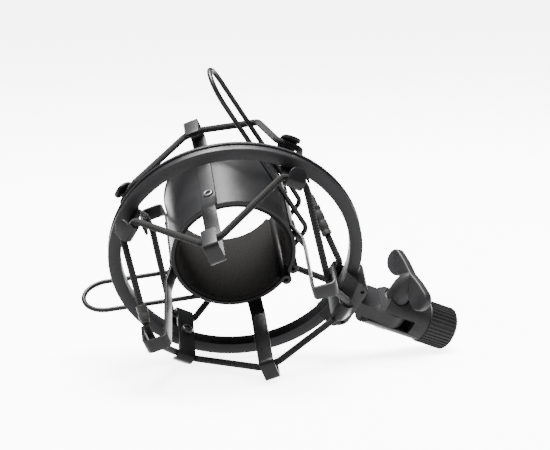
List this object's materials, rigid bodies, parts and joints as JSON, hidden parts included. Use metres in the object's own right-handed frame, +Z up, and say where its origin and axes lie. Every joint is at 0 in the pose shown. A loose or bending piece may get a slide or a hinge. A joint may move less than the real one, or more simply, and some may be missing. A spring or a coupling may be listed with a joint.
{
  "type": "microphone shock mount",
  "caption": "Spider shock mount: a felt-lined clamping basket hung on elastic cords inside a ring, with a thumb-screw swivel and a threaded stand collar.",
  "frame": {"origin": "middle of the bounding box's bottom face, on the table that the mount lies on", "axes": "+Z up; +X horizontally from the ring towards the swivel and its collar; the open front of the basket faces -Y. The ring's axis points forward and down, so the mount lies on one cord clip, one front hook and the collar's rim, as it does when it is put down"},
  "size_m": [0.1666, 0.1142, 0.1355],
  "materials": {
    "black_paint": "satin black paint on pressed steel and on the wire",
    "ring_paint": "fine-grained satin black paint",
    "black_screw": "blackened steel screws and rivets",
    "felt": "dense black felt",
    "elastic": "woven cover over a rubber core",
    "crimp": "black crimped sleeve",
    "moulded": "grained black moulding",
    "ribbed": "ribbed black moulding",
    "steel": "plated steel"
  },
  "bodies": {
    "ring": {"outer_ring": "ring_paint", "cord_clip_swivel": "black_paint", "cord_clip_upper": "black_paint", "cord_clip_rear": "black_paint", "cord_clip_lower": "black_paint", "clip_screws": "black_screw", "swivel_yoke": "moulded", "elastic_front": "elastic", "elastic_rear": "elastic", "ferrule_front": "crimp", "ferrule_rear": "crimp"},
    "basket_lower": {"barrel_shell_lower": "black_paint", "felt_lower": "felt", "hook_strip_lower_rear": "black_paint", "hook_strip_lower_front": "black_paint", "rivets_lower": "black_screw", "squeeze_handle_lower": "black_paint"},
    "basket_upper": {"barrel_shell_upper": "black_paint", "felt_upper": "felt", "hook_strip_upper_front": "black_paint", "hook_strip_upper_rear": "black_paint", "rivets_upper": "black_screw", "squeeze_handle_upper": "black_paint"},
    "swivel": {"clevis_body": "moulded", "hinge_nut": "steel", "thumb_screw_washer": "steel"},
    "thumb_screw": {"wing_knob": "moulded", "thumb_screw_stud": "steel"},
    "collar": {"ribbed_collar": "ribbed", "thread_insert": "steel"}
  },
  "joints": [
    {"name": "basket_float", "type": "slide", "parent": "ring", "child": "basket_lower", "axis": [-0.2, -0.8684, -0.4536], "range_m": [-0.004, 0.004], "stiffness_N_per_m": 3000, "deforming": ["elastic_front", "elastic_rear"]},
    {"name": "clamp_open", "type": "hinge", "parent": "basket_lower", "child": "basket_upper", "pos_m": [-0.04547, 0.01529, 0.07377], "axis": [-0.1666, -0.8875, -0.4297], "range_deg": [0, 6], "stiffness_Nm_per_rad": 12, "deforming": ["elastic_front", "elastic_rear"]},
    {"name": "swivel_tilt", "type": "hinge", "parent": "ring", "child": "swivel", "pos_m": [0.04996, -0.00187, 0.0211], "axis": [0.3504, -0.4958, 0.7946], "range_deg": [-85, 80]},
    {"name": "thumb_screw_turn", "type": "hinge", "parent": "swivel", "child": "thumb_screw", "pos_m": [0.04996, -0.00187, 0.0211], "axis": [0.3504, -0.4958, 0.7946], "continuous": true},
    {"name": "collar_spin", "type": "hinge", "parent": "swivel", "child": "collar", "pos_m": [0.07447, -0.00055, 0.01112], "axis": [0.925, 0.05, -0.3767], "continuous": true}
  ]
}
